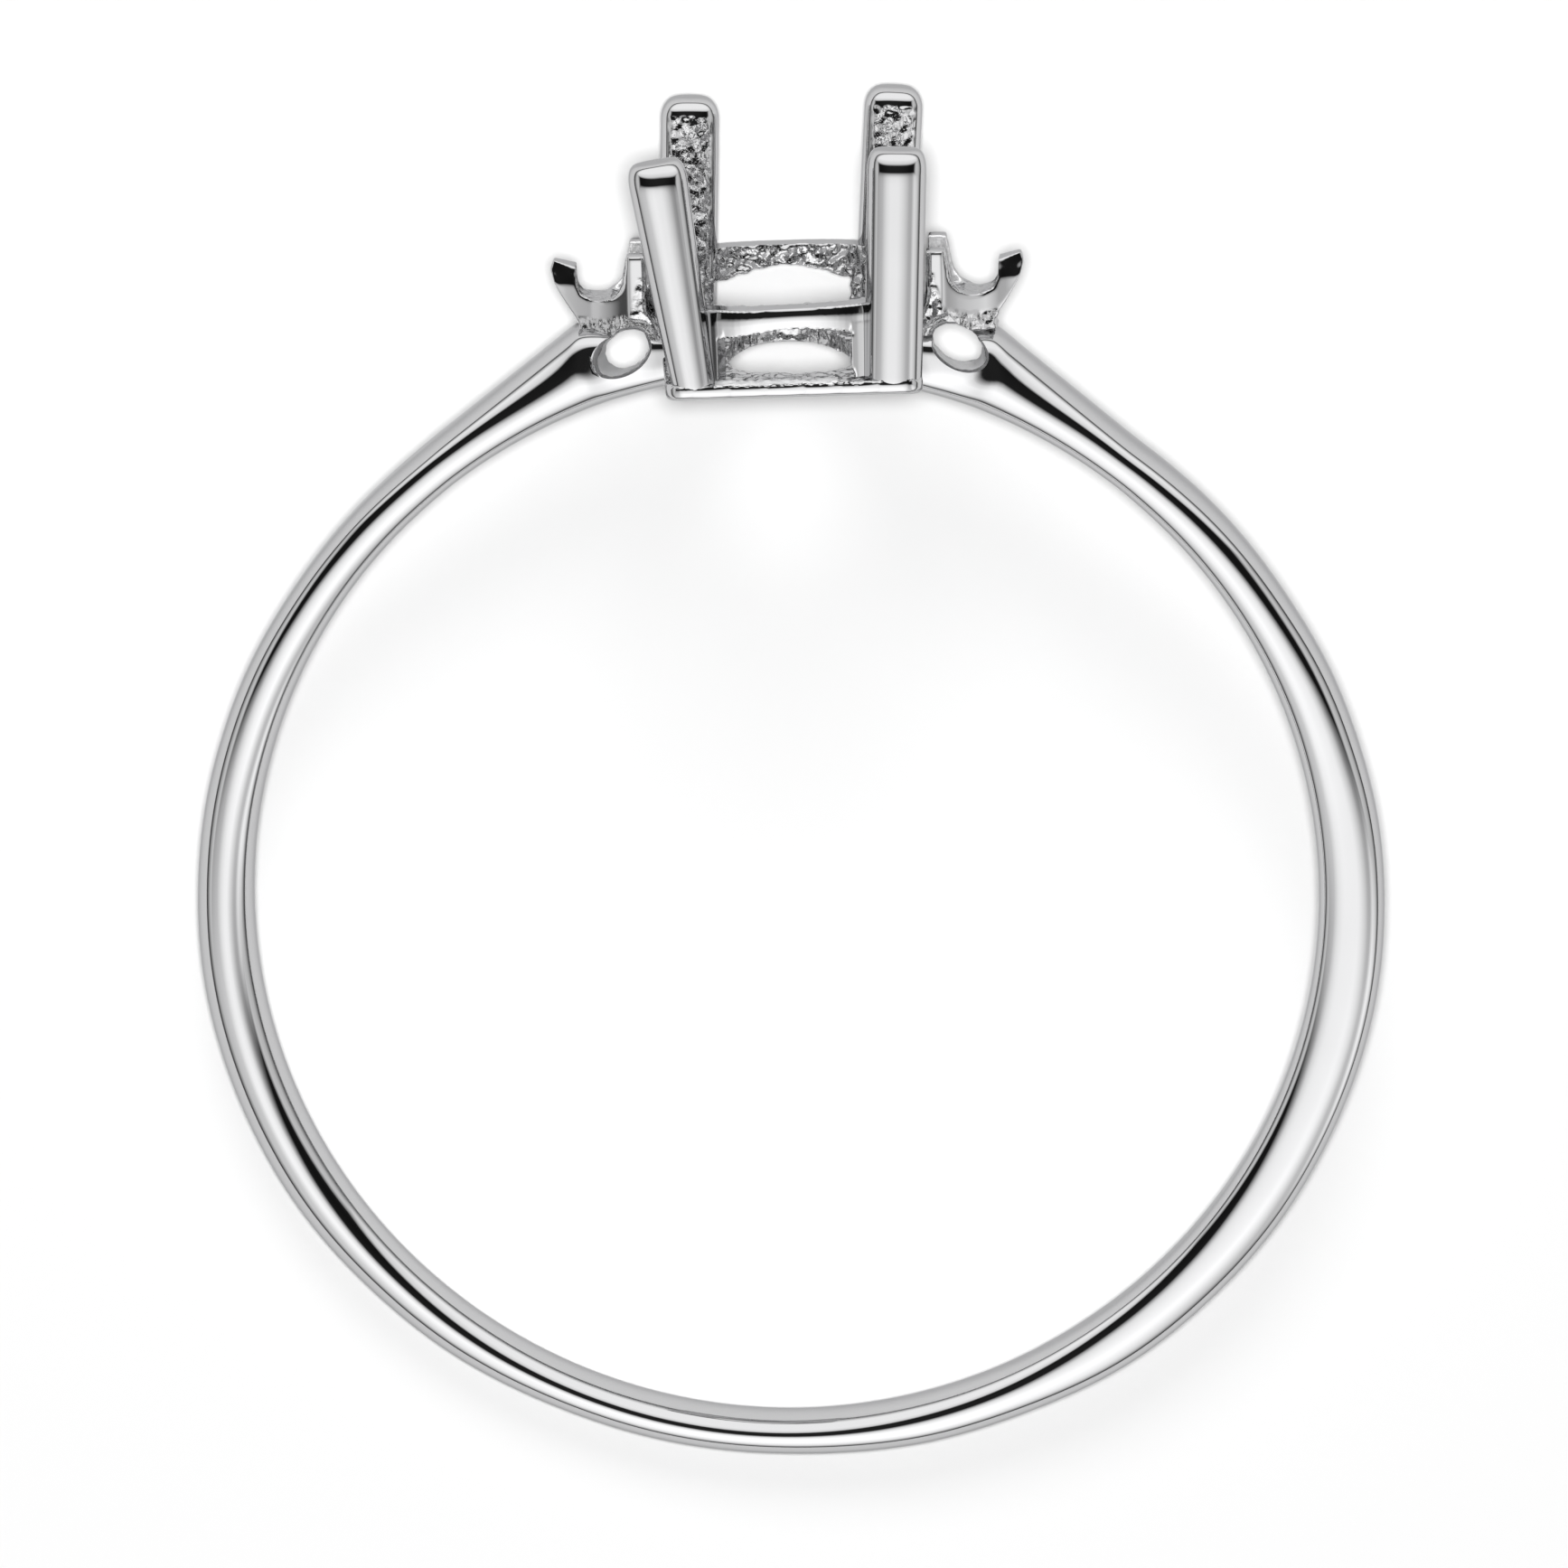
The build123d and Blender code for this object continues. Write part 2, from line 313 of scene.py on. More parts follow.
def rotation(degrees, axis):
    """A turn about one axis of the frame."""
    return Matrix.Rotation(math.radians(degrees), 4, axis)


def about(point, turn):
    """A turn about a point."""
    return Matrix.Translation(point) @ turn @ Matrix.Translation(-Vector(point))


# From the upright frame to the table, then the places of the side settings and of the turned head
LAID = lying_frame(finger)
MOVED = Matrix.Translation((SHIFT, 0, 0))
TIPPED = about((0, 0, FINGER), rotation(-LEAN, "Y"))
SEATED = MOVED @ TIPPED
TURNED = MOVED @ rotation(TWIST, "Z") @ TIPPED


def deselect():
    """Leave edit mode and select nothing."""
    if bpy.context.mode != "OBJECT":
        bpy.ops.object.mode_set(mode="OBJECT")
    bpy.ops.object.select_all(action="DESELECT")


def edit():
    """Start shaping the newest primitive, with its place put into its mesh first."""
    bpy.ops.object.transform_apply(location=True, rotation=True, scale=True)
    bpy.ops.object.mode_set(mode="EDIT")
    bpy.ops.mesh.select_mode(type="VERT")


def circle(points, fill="NGON"):
    """Start on a circle of radius 1 at the middle of the frame, flat and with all of it selected."""
    deselect()
    bpy.ops.mesh.primitive_circle_add(vertices=points, radius=1, fill_type=fill)
    edit()
    bpy.ops.mesh.select_all(action="SELECT")


def done():
    """Leave edit mode with the faces pointing out, and give back the piece."""
    bpy.ops.mesh.select_all(action="SELECT")
    bpy.ops.mesh.remove_doubles(threshold=MERGE_DISTANCE)
    bpy.ops.mesh.normals_make_consistent(inside=False)
    bpy.ops.object.mode_set(mode="OBJECT")
    return bpy.context.object


def pick(test):
    """Select only the points whose place passes the test."""
    data = bpy.context.edit_object.data
    mesh = bmesh.from_edit_mesh(data)
    for point in mesh.verts:
        point.select = test(point.co)
    mesh.select_flush_mode()
    bmesh.update_edit_mesh(data)


def sculpt(move):
    """Give each point of the edited mesh a new place, worked out from where it is."""
    data = bpy.context.edit_object.data
    mesh = bmesh.from_edit_mesh(data)
    for point in mesh.verts:
        point.co = move(point.co)
    bmesh.update_edit_mesh(data)


def slide(x, y, z):
    """Move what is selected."""
    bpy.ops.transform.translate(value=(x, y, z))


def scale(x, y, z, centre=(0, 0, 0)):
    """Scale what is selected about a centre."""
    bpy.ops.transform.resize(value=(x, y, z), center_override=centre)


def extrude(x, y, z):
    """Pull new walls out of what is selected."""
    bpy.ops.mesh.extrude_region_move(TRANSFORM_OT_translate={"value": (x, y, z)})


def squared(point, power):
    """A point of the unit circle moved out to a squarer outline; a power of 2 leaves it round."""
    reach = (abs(point.x) ** power + abs(point.y) ** power) ** (-1 / power)
    return Vector((point.x * reach, point.y * reach, point.z))


def stack(rows):
    """Pull the selected outline, of unit half size, up through rows of height, half width, half depth."""
    height, wide, deep = rows[0]
    scale(wide, deep, 1)
    slide(0, 0, height)
    for next_height, next_wide, next_deep in rows[1:]:
        extrude(0, 0, next_height - height)
        scale(next_wide / wide, next_deep / deep, 1)
        height, wide, deep = next_height, next_wide, next_deep


def oval(rows, points):
    """Closed upright body with an oval plan."""
    circle(points)
    stack(rows)
    return done()


def block(low, high):
    """Closed box between two corners."""
    deselect()
    centre = [(a + b) / 2 for a, b in zip(low, high)]
    bpy.ops.mesh.primitive_cube_add(size=1, location=centre)
    edit()
    bpy.ops.mesh.select_all(action="SELECT")
    scale(*[b - a for a, b in zip(low, high)], centre=centre)
    return done()


def place(piece, matrix):
    """Put a place into a piece's mesh."""
    piece.data.transform(matrix)
    return piece


def activate(piece):
    """Make a finished piece the one that the next operator works on."""
    deselect()
    piece.select_set(True)
    bpy.context.view_layer.objects.active = piece


def modify(piece, kind, **settings):
    """Add one modifier and apply it."""
    activate(piece)
    modifier = piece.modifiers.new(kind, kind)
    for name, value in settings.items():
        setattr(modifier, name, value)
    bpy.ops.object.modifier_apply(modifier=modifier.name)
    return piece


def reshape(piece, move):
    """Give each point of a finished mesh a new place, worked out from where it is."""
    for point in piece.data.vertices:
        point.co = move(point.co)
    return piece


def round_off(piece):
    """Two levels of subdivision, which turn coarse sections into a smooth form."""
    return modify(piece, "SUBSURF", levels=2, render_levels=2)


def cut(piece, tool):
    """Take one closed body out of another."""
    modify(piece, "BOOLEAN", object=tool, operation="DIFFERENCE", solver="EXACT")
    bpy.data.objects.remove(tool)
    return piece


def fuse(piece, other):
    """Put two closed bodies in one mesh, for a new fine mesh to run them together."""
    activate(piece)
    other.select_set(True)
    bpy.ops.object.join()
    return piece


def even_mesh(piece, grain):
    """Give a piece one even fine mesh."""
    return modify(piece, "REMESH", mode="VOXEL", voxel_size=grain)


def smooth_edges(piece, passes):
    """Round a fine mesh's edges and corners as a casting's are."""
    return modify(piece, "SMOOTH", factor=0.5, iterations=passes)


def melt(piece, grain, passes):
    """Turn a sharp body into a soft edged casting."""
    return smooth_edges(even_mesh(piece, grain), passes)


def step_between(low, high, value):
    """Soft step from 0 to 1."""
    share = min(max((value - low) / (high - low), 0), 1)
    return share * share * (3 - 2 * share)


def leave_cast(piece, share, lumps):
    """Mark how the casting was left, by place and facing, and raise or sink its lumps there."""
    points = piece.data.vertices
    rough = [share(point.co, point.normal) for point in points]
    mark = piece.data.attributes.new("as_cast", "FLOAT", "POINT")
    mark.data.foreach_set("value", rough)
    moves = [lumps * min(amount, 1) * noise.noise(point.co / LUMP_SIZE) * point.normal
             for point, amount in zip(points, rough)]
    for point, move in zip(points, moves):
        point.co += move


def show(piece, name, metal):
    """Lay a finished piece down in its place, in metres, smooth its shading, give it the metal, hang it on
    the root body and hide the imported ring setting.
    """
    piece.name = name
    piece.data.name = name
    place(piece, LAID @ Matrix.Scale(MM, 4))
    activate(piece)
    bpy.ops.object.shade_smooth_by_angle(angle=math.radians(SMOOTH_ANGLE))
    piece.data.materials.clear()
    piece.data.materials.append(metal)
    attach(piece, "root")
    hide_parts("ring_setting")


def shoulder_corner():
    """Angle from the top, in degrees, of the shoulder's outer top corner."""
    return math.degrees(math.atan2(SHOULDER_HALF_SPAN, SHOULDER_TOP))


def shoulder_slope():
    """Angle from the top, in degrees, where the straight shoulder leaves the round band."""
    far = math.hypot(SHOULDER_HALF_SPAN, SHOULDER_TOP)
    return shoulder_corner() + math.degrees(math.acos((FINGER + SHOULDER_THICKNESS) / far))


def band_at(turn):
    """The row of the band's table at an angle up from the bottom, on smooth curves through the list."""
    for low, high in zip(BAND_ROWS, BAND_ROWS[1:]):
        if low[0] <= turn <= high[0]:
            share = step_between(low[0], high[0], turn)
            return [a + (b - a) * share for a, b in zip(low[1:], high[1:])]
    return BAND_ROWS[-1][1:]


def band_reach(turn):
    """Radius of the band's outside at an angle up from the bottom, negative on the left."""
    from_top = 180 - abs(turn)
    slope = shoulder_slope()
    under_base = math.degrees(math.atan2(HEAD_WIDTH / 2 - BAND_END_INSET, SHOULDER_TOP))
    if from_top < under_base:
        return (BASE_TOP - BAND_END_SUNK) / math.cos(math.radians(from_top))
    if from_top < shoulder_corner():
        return SHOULDER_TOP / math.cos(math.radians(from_top))
    if from_top < slope:
        return (FINGER + SHOULDER_THICKNESS) / math.cos(math.radians(slope - from_top))
    return FINGER + band_at(turn)[0] * BAND_THICKNESS


def half_width(height):
    """Half the band's width, which grows above the middle."""
    grown = max(height, 0) / SHOULDER_TOP
    return BAND_WIDTH / 2 + (SHOULDER_WIDTH - BAND_WIDTH) / 2 * grown * grown


def shoulder_lean(turn, outward):
    """How far a shoulder's face leans in, by the angle up from the bottom and the depth, from -1 to 1."""
    begins, full, ended = SHOULDER_LEAN_ANGLES
    beside = step_between(begins, full, abs(turn)) * (1 - step_between(full, ended, abs(turn)))
    return SHOULDER_LEAN * beside * step_between(*SHOULDER_LEAN_DEPTHS, outward)


def turn_of(point):
    """Angle of a point up from the bottom, in degrees, negative on the left."""
    return math.degrees(math.atan2(point.x, -point.z))


def band_turns():
    """Where the band has its sections, from the left end round the bottom to the right end."""
    half = [180 - from_top for from_top in SHOULDER_SECTIONS + [shoulder_slope()]]
    count = int(half[-1] / BAND_STEP)
    half += [half[-1] * (1 - n / count) for n in range(1, count)]
    return [-turn for turn in half] + [0] + half[::-1]


def band():
    """Tapered band and both shoulders, spun from one end to the other, then thinned and widened."""
    turns = band_turns()
    middle = FINGER + BAND_THICKNESS / 2
    first = math.radians(turns[0])
    circle(BAND_POINTS)
    scale(BAND_THICKNESS / 2, BAND_WIDTH / 2, 1)
    bpy.ops.object.mode_set(mode="OBJECT")
    bpy.context.object.rotation_euler = (0, math.pi / 2 - first, 0)
    bpy.context.object.location = (middle * math.sin(first), 0, -middle * math.cos(first))
    edit()
    bpy.ops.mesh.select_all(action="SELECT")
    for turn, next_turn in zip(turns, turns[1:]):
        angle = math.radians(next_turn - turn)
        bpy.ops.mesh.spin(steps=1, angle=angle, center=(0, 0, 0), axis=(0, 1, 0))

    def shaped(point):
        turn = turn_of(point)
        radius = math.hypot(point.x, point.z)
        outward = 2 * (radius - middle) / BAND_THICKNESS
        power = band_at(turn)[1 if outward > 0 else 2]
        outward, along, _ = squared(Vector((outward, 2 * point.y / BAND_WIDTH, 0)), power)
        grown = (FINGER + (1 + outward) / 2 * (band_reach(turn) - FINGER)) / radius
        wide = half_width(-middle * math.cos(math.radians(turn))) - shoulder_lean(turn, outward)
        return Vector((point.x * grown, along * wide, point.z * grown))

    sculpt(shaped)
    piece = round_off(done())
    reshape(piece, sunk)
    for side in (-1, 1):
        cut(piece, shoulder_opening(side))
    cut(piece, base_well())
    leave_cast(piece, cast_opening, LUMPS)
    return piece


def opening_centre(side):
    """Middle of the hole through the left or the right shoulder."""
    return Vector((side * OPENING_ACROSS[side], 0, OPENING_HEIGHT))


def from_opening(point):
    """Distance across and up from the middle of the nearer shoulder hole."""
    centre = opening_centre(-1 if point.x < 0 else 1)
    return math.hypot(point.x - centre.x, point.z - centre.z)


def sunk(point):
    """The shoulders' faces dip a little towards the holes."""
    if abs(point.y) <= SHOULDER_FACE:
        return point
    depth = OPENING_SINK * (1 - step_between(*OPENING_SINK_SPAN, from_opening(point)))
    return Vector((point.x, point.y - math.copysign(depth, point.y), point.z))


def cast_opening(point, facing):
    """Satin on the inner wall of the two shoulder holes."""
    if from_opening(point) >= OPENING_WALL_REACH or abs(point.y) >= OPENING_WALL_END:
        return 0
    return SATIN * (1 - step_between(*FADE_OPENING, abs(facing.y)))


def shoulder_opening(side):
    """Oval tool for the hole through a shoulder, with a flare that rounds the hole's rim."""
    wide, high = OPENING
    rows = [(-depth, flare) for depth, flare in OPENING_FLARE] + OPENING_FLARE[::-1]
    tool = oval([(depth, wide + flare, high + flare) for depth, flare in rows], OPENING_POINTS)
    turn = rotation(side * OPENING_SLANT, "Y") @ rotation(90 - OPENING_DIP, "X")
    return place(tool, SEATED @ Matrix.Translation(opening_centre(side)) @ turn)


def base_well():
    """Tool for the hole down to the finger under the centre stone: an oval, blunter at its near end."""
    tool = oval([(height, 1, 1) for height in BASE_HOLE_TOOL], BASE_HOLE_POINTS)

    def shaped(point):
        reach, power = BASE_HOLE_NEAR if point.y < 0 else BASE_HOLE_FAR
        flat = squared(point, power)
        return Vector((BASE_HOLE_WIDTH / 2 * flat.x, BASE_HOLE_CENTRE + reach * flat.y, point.z))

    return place(reshape(tool, shaped), TURNED)


def head_base():
    """Foot of the head, with its corners and lower edges rounded off."""
    deselect()
    bpy.ops.mesh.primitive_plane_add(size=2)
    edit()
    bpy.ops.mesh.select_all(action="SELECT")
    wide, deep = HEAD_WIDTH / 2, HEAD_LENGTH / 2
    scale(wide, deep, 1)
    bpy.ops.mesh.bevel(offset=BASE_ROUND, segments=BASE_ROUND_STEPS, affect="VERTICES")
    scale(1 / wide, 1 / deep, 1)
    rows = []
    for n in range(BASE_EDGE_STEPS + 1):
        turn = math.radians(90 * n / BASE_EDGE_STEPS)
        inset = BASE_EDGE * (1 - math.sin(turn))
        rows.append((BASE_BOTTOM + BASE_EDGE * (1 - math.cos(turn)), wide - inset, deep - inset))
    inset, drop = BASE_TOP_EDGE
    rows += [(BASE_TOP - drop, wide, deep), (BASE_TOP, wide - inset, deep - inset)]
    stack(rows)
    sculpt(arched_underside)
    piece = place(done(), TURNED)
    cut(piece, base_well())
    melt(piece, *BASE_MELT)
    leave_cast(piece, cast_base, LUMPS)
    return piece


def arched_underside(point):
    """The base's lower side, filed to follow the finger a little."""
    low = 1 - step_between(BASE_BOTTOM, BASE_TOP, point.z)
    share = 1 - (2 * point.x / HEAD_WIDTH) ** 2
    return Vector((point.x, point.y, point.z + BASE_ARCH * low * share))


def cast_base(point, facing):
    """Rough on top and in the hole, and satin at the rims of the near and the far window."""
    wide, deep = BASE_HOLE_WALL
    in_hole = abs(point.x) < wide and abs(point.y) < deep
    wall = 1 - step_between(*FADE_UPRIGHT, abs(facing.z)) if in_hole else 0
    from_end = HEAD_LENGTH / 2 - abs(point.y)
    rim = 1 - step_between(*BASE_RIM, from_end) if in_window(point) else 0
    return max(step_between(*FADE_FLAT, facing.z) * (1 + rim), wall)


def oval_wall(bottom, top, crown):
    """Open wall on a plan between an oval and a rectangle, with its outer face crowned."""
    circle(RAIL_POINTS, "NOTHING")
    sculpt(lambda point: squared(point, RAIL_POWER))
    wide, deep = [size / 2 for size in RAIL_OUTSIDE]
    rows = [(bottom + (top - bottom) * share, crown * (2 * share - 1) ** 2) for share in RAIL_ROWS]
    stack([(height, wide - inset, deep - inset) for height, inset in rows])
    extrude(0, 0, 0)
    scale(RAIL_INSIDE[0] / 2 / (wide - crown), RAIL_INSIDE[1] / 2 / (deep - crown), 1)
    extrude(0, 0, bottom - top)
    pick(lambda point: point.z < bottom + MERGE_DISTANCE)
    bpy.ops.mesh.bridge_edge_loops()


def rail():
    """Rail that joins the four prongs, with the posts that it stands on."""
    oval_wall(RAIL_BOTTOM, RAIL_TOP, RAIL_CROWN)
    sculpt(arched_rail)
    piece = done()
    fuse(piece, posts())
    melt(piece, *RAIL_MELT)
    leave_cast(piece, cast_inside, LUMPS)
    return place(piece, TURNED)


def arched_rail(point):
    """Where a point of the true oval rail lies in the bent one."""
    near = point.y < 0
    slant = RAIL_SLANT * point.x if near else 0
    lift = RAIL_LIFT * step_between(*RAIL_LIFT_SPAN, abs(point.y)) * (1 if near else -1)
    share = min(abs(point.x) / NEAR_WINDOW[1], 1)
    low = (RAIL_TOP - point.z) / (RAIL_TOP - RAIL_BOTTOM)
    arch = RAIL_ARCH[0 if near else 1] * share * share * low
    return Vector((point.x, point.y, point.z + slant + lift - arch))


def posts():
    """The four pieces of wall between the base and the rail, behind the prongs."""
    oval_wall(BASE_TOP - POST_IN_BASE, RAIL_BOTTOM + POST_IN_RAIL, 0)
    pick(in_window)
    bpy.ops.mesh.delete(type="VERT")
    bpy.ops.mesh.select_all(action="SELECT")
    bpy.ops.mesh.fill_holes(sides=0)
    return done()


def in_window(point):
    """Whether a place on the head's wall lies in one of its four windows."""
    left, right = NEAR_WINDOW if point.y < 0 else FAR_WINDOW
    return left < point.x < right or abs(point.y) < SIDE_WINDOW_HALF


def cast_inside(point, facing):
    """Rough where a face looks in at the stone or down."""
    inward = -(point.x * facing.x + point.y * facing.y) / math.hypot(point.x, point.y)
    return max(step_between(*FADE_UPRIGHT, inward), step_between(*FADE_FLAT, -facing.z))


def prong(side, end, lean, height_share, foot_share):
    """One square prong with a soft front and a domed top, narrower towards its foot where it was filed."""
    height = PRONG_TOP * height_share - (BASE_BOTTOM - FINGER) - PRONG_LIFT
    wide, deep = PRONG_WIDTH / 2, PRONG_DEPTH / 2
    dome = NEAR_DOME if end < 0 else FAR_DOME
    edge = PRONG_FOOT_EDGE
    rows = [(0, wide * foot_share - edge, deep - edge), (edge, wide * foot_share, deep)]
    length = height - dome[0][0] - edge
    for n in range(1, PRONG_SECTIONS):
        share = n / PRONG_SECTIONS
        rows.append((edge + length * share, wide * (foot_share + (1 - foot_share) * share), deep))
    rows += [(height - below, wide - across, deep - along) for below, across, along in dome]
    circle(PRONG_POINTS)
    sculpt(lambda point: squared(point, PRONG_FRONT_POWER if point.y < 0 else PRONG_BACK_POWER))
    stack(rows)
    piece = round_off(done())
    top = height - dome[1][0]

    def cast_back(point, facing):
        below = 1 - step_between(top - PRONG_ROUGH_END, top, point.z)
        return step_between(*FADE_PRONG, facing.y) * below * (abs(point.x) / wide < PRONG_ROUGH_SHARE)

    leave_cast(piece, cast_back, LUMPS)
    across = side * (HEAD_WIDTH - PRONG_WIDTH) / 2
    along = end * (HEAD_LENGTH - PRONG_DEPTH) / 2
    foot = Matrix.Translation((across, along, BASE_BOTTOM + PRONG_LIFT))
    facing = rotation(0 if end < 0 else 180, "Z")
    return place(piece, TURNED @ foot @ rotation(side * lean, "Y") @ facing)


def seat_outline():
    """Side setting seen along the finger, on the right: post, scoop, tip and the arm's outer side."""
    left, right = SEAT_POST
    x, z = SEAT_CENTRE
    inward, knee = SEAT_KNEE
    points = [(left - SEAT_FOOT_INWARD, SEAT_FOOT), (left - inward, knee), (left, SEAT_POST_TOP)]
    points.append((right - SEAT_POST_LEAN, SEAT_POST_TOP))
    for angle in SEAT_SCOOP_TURNS:
        turn = math.radians(angle)
        points.append((x + SEAT_RADIUS * math.cos(turn), z + SEAT_RADIUS * math.sin(turn)))
    return points + SEAT_TIP_OUTLINE


def seat_half(x, z):
    """Half the setting's width: full at the posts, narrow along the arm, less towards the tip's top."""
    share = min(max((x - SEAT_POST[1] + SEAT_TAPER_START) / (SEAT_TIP - SEAT_POST[1]), 0), 1)
    half = SEAT_NARROW + (SEAT_WIDE - SEAT_NARROW) * (1 - share) ** SEAT_TAPER
    at_tip = step_between(*SEAT_TIP_ACROSS, x) * step_between(*SEAT_TIP_HEIGHTS, z - FINGER)
    crown = SEAT_TIP_CROWN * ((x - SEAT_TIP_MIDDLE) / (SEAT_TIP - SEAT_TIP_MIDDLE)) ** 2
    return half - at_tip * (SEAT_TIP_LEAN + crown)


def set_outline(places, depth):
    """Move the corners of the edited face to places across and up, at one depth along the finger."""
    data = bpy.context.edit_object.data
    mesh = bmesh.from_edit_mesh(data)
    for corner, (x, z) in zip(mesh.verts, places):
        corner.co = (x, depth, z)
    bmesh.update_edit_mesh(data)


def widened(point):
    """A point of the flat side setting, moved out along the finger to the setting's real width."""
    return Vector((point.x, point.y / (UNIT_DEPTH / 2) * seat_half(point.x, point.z), point.z))


def side_setting(side):
    """Small open setting on a shoulder, with two inner posts, a scoop and one outer tip."""
    outline = seat_outline()
    circle(len(outline))
    set_outline(outline, -UNIT_DEPTH / 2)
    extrude(0, UNIT_DEPTH, 0)
    piece = done()
    (low_x, low_z), (high_x, high_z) = SEAT_SLOT_LOW, SEAT_SLOT_HIGH
    cut(piece, block((low_x, -SEAT_GAP / 2, low_z), (high_x, SEAT_GAP / 2, high_z)))
    grain, passes = SEAT_MELT
    even_mesh(piece, grain)
    reshape(piece, widened)
    if side < 0:
        place(piece, Matrix.Scale(-1, 4, (1, 0, 0)))
        piece.data.flip_normals()
    smooth_edges(piece, passes)
    place(piece, SEATED)
    cut(piece, shoulder_opening(side))
    place(piece, SEATED.inverted())
    leave_cast(piece, cast_seat, SEAT_LUMPS)
    return place(piece, SEATED)


def cast_seat(point, facing):
    """Rough at a side setting's foot, beside its posts and in its scoop, and satin on its back."""
    across = abs(point.x)
    edge = SEAT_ROUGH_TOP + SEAT_ROUGH_RISE * max(0, SEAT_ROUGH_FROM - across)
    low = 1 - step_between(edge - SEAT_ROUGH_BLUR, edge + SEAT_ROUGH_BLUR, point.z)
    hole = cast_opening(point, facing) if point.z < SEAT_HOLE_TOP else 0
    back = step_between(*FADE_SEAT_BACK, -facing.y * math.copysign(1, point.y))
    parts = (NOTCH_ROUGH * cast_notch(point), SCOOP_ROUGH * cast_scoop(point, facing), BACK_ROUGH * back)
    return max(low, hole, *parts)


def cast_notch(point):
    """Rough beside the two inner posts of a side setting, below their tops."""
    if abs(point.y) <= SEAT_GAP:
        return 0
    across, height = SEAT_NOTCH
    past = abs(point.x) - across - SEAT_NOTCH_SPREAD * (height - point.z)
    return (1 - step_between(0, SEAT_NOTCH_BLUR, past)) * step_between(*SEAT_NOTCH_TOP, point.z)


def cast_scoop(point, facing):
    """Rough inside the scoop, where a face looks at the side stone's place."""
    x, z = SEAT_CENTRE
    inward = (math.copysign(x, point.x) - point.x) * facing.x + (z - point.z) * facing.z
    return step_between(*FADE_SCOOP, inward) if abs(facing.y) < SCOOP_SIDEWAYS else 0


def add(nodes, kind, **settings):
    """A shader node with its sockets set by name."""
    node = nodes.new(kind)
    for name, value in settings.items():
        socket = node.inputs.get(name.replace("_", " "))
        if socket is None:
            setattr(node, name, value)
        else:
            socket.default_value = value
    return node


def white_metal():
    """Rhodium white metal: mirror polished outside, grainy where the casting was never filed."""
    metal = bpy.data.materials.new("white_metal")
    metal.use_nodes = True
    nodes, links = metal.node_tree.nodes, metal.node_tree.links
    shader = nodes["Principled BSDF"]
    shader.inputs["Specular Tint"].default_value = GLANCING_TONE
    position = add(nodes, "ShaderNodeTexCoord").outputs["Object"]
    cast = add(nodes, "ShaderNodeAttribute", attribute_name="as_cast").outputs["Fac"]

    def pattern(size, detail):
        node = add(nodes, "ShaderNodeTexNoise", Scale=1 / (size * MM), Detail=detail, Roughness=0.6)
        links.new(position, node.inputs["Vector"])
        return node.outputs["Fac"]

    def reckon(operation, first, second):
        node = add(nodes, "ShaderNodeMath", operation=operation)
        for socket, value in zip(node.inputs, (first, second)):
            if isinstance(value, (int, float)):
                socket.default_value = value
            else:
                links.new(value, socket)
        return node.outputs["Value"]

    def blend(share, low, high):
        node = add(nodes, "ShaderNodeMapRange", To_Min=low, To_Max=high)
        links.new(share, node.inputs["Value"])
        return node.outputs["Result"]

    grain = reckon("MULTIPLY", pattern(GRAIN_SIZE, 2), reckon("MINIMUM", cast, 1))
    grain_height = reckon("MULTIPLY", grain, GRAIN_HEIGHT * MM)
    wave_height = reckon("MULTIPLY", pattern(WAVE_SIZE, 1), WAVE_HEIGHT * MM)
    bump = add(nodes, "ShaderNodeBump", Strength=1, Distance=1)
    links.new(reckon("ADD", grain_height, wave_height), bump.inputs["Height"])
    links.new(bump.outputs["Normal"], shader.inputs["Normal"])
    satin_share = reckon("SUBTRACT", cast, 1)
    links.new(blend(satin_share, 1, SATIN_METALLIC), shader.inputs["Metallic"])
    glossy = blend(cast, POLISHED_ROUGHNESS, CAST_ROUGHNESS)
    satin = blend(satin_share, POLISHED_ROUGHNESS, SATIN_ROUGHNESS)
    links.new(reckon("MAXIMUM", glossy, satin), shader.inputs["Roughness"])
    tone = add(nodes, "ShaderNodeMix", data_type="RGBA")
    tone.inputs[6].default_value = POLISHED_TONE
    tone.inputs[7].default_value = SATIN_TONE
    links.new(satin_share, tone.inputs["Factor"])
    links.new(tone.outputs[2], shader.inputs["Base Color"])
    return metal


def floor():
    """Plain pale table top."""
    deselect()
    bpy.ops.mesh.primitive_plane_add(size=FLOOR_SIZE)
    table = bpy.context.object
    table.name = "floor"
    paper = bpy.data.materials.new("pale_floor")
    paper.use_nodes = True
    shader = paper.node_tree.nodes["Principled BSDF"]
    shader.inputs["Base Color"].default_value = FLOOR_TONE
    shader.inputs["Roughness"].default_value = FLOOR_ROUGHNESS
    shader.inputs["Specular IOR Level"].default_value = FLOOR_GLOSS
    table.data.materials.append(paper)


def lights():
    """Soft lights that the metal itself doesn't mirror: one at the viewer, one weaker past the head."""
    soft_light("at_viewer", LAID @ (Vector(CAMERA_AT) * MM), VIEWER_LAMP_SIZE, VIEWER_LAMP)
    soft_light("past_the_head", Vector(FAR_LAMP_AT), FAR_LAMP_SIZE, FAR_LAMP)


def soft_light(name, position, size, power):
    """Round area light that points at the ring."""
    data = bpy.data.lights.new(name, "AREA")
    data.shape = "DISK"
    data.size = size
    data.energy = power
    lamp = bpy.data.objects.new(name, data)
    bpy.context.scene.collection.objects.link(lamp)
    lamp.location = position
    lamp.rotation_mode = "QUATERNION"
    lamp.rotation_quaternion = position.to_track_quat("Z", "Y")
    lamp.visible_glossy = False


